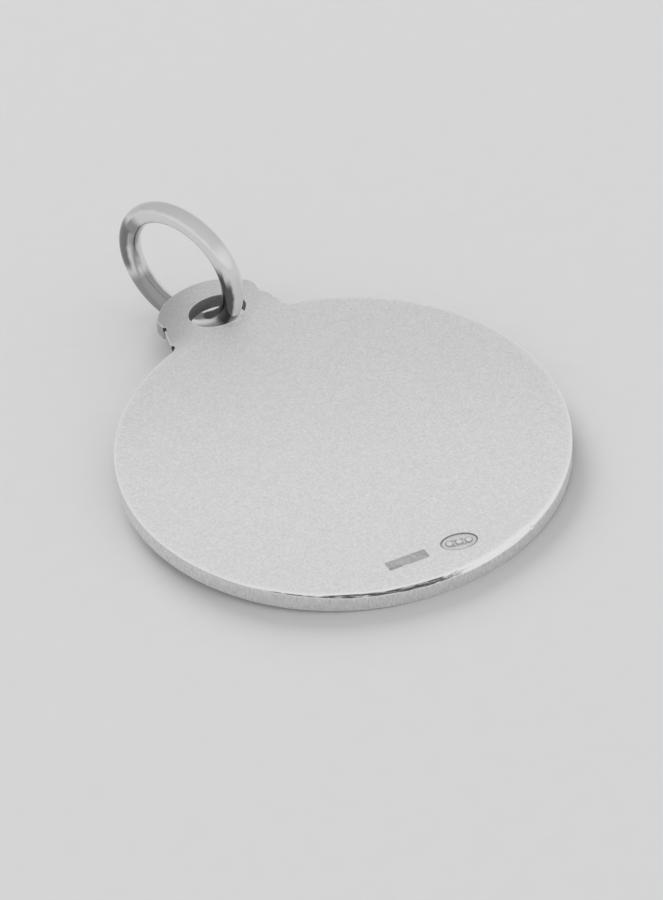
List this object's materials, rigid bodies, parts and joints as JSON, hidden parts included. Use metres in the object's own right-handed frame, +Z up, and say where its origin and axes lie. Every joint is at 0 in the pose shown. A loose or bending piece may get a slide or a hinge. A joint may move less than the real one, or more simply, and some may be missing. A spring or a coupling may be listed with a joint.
{
  "type": "religious medal pendant",
  "caption": "Round silver medal with a plain back, a low cross in a raised rim on the front, and a pierced ear holding a round-wire jump ring, lying face down.",
  "frame": {"origin": "on the table, under the middle of the whole object as it lies face down", "axes": "+Y from the disc towards the ear and its ring, +Z up, away from the medal's plain back"},
  "size_m": [0.02, 0.026, 0.0069],
  "materials": {
    "satin_silver": "fine satin silver with faint hairlines",
    "polished_silver": "polished silver wire, lightly worn"
  },
  "bodies": {
    "root": {"medal": "satin_silver", "jump_ring": "polished_silver"}
  },
  "joints": []
}
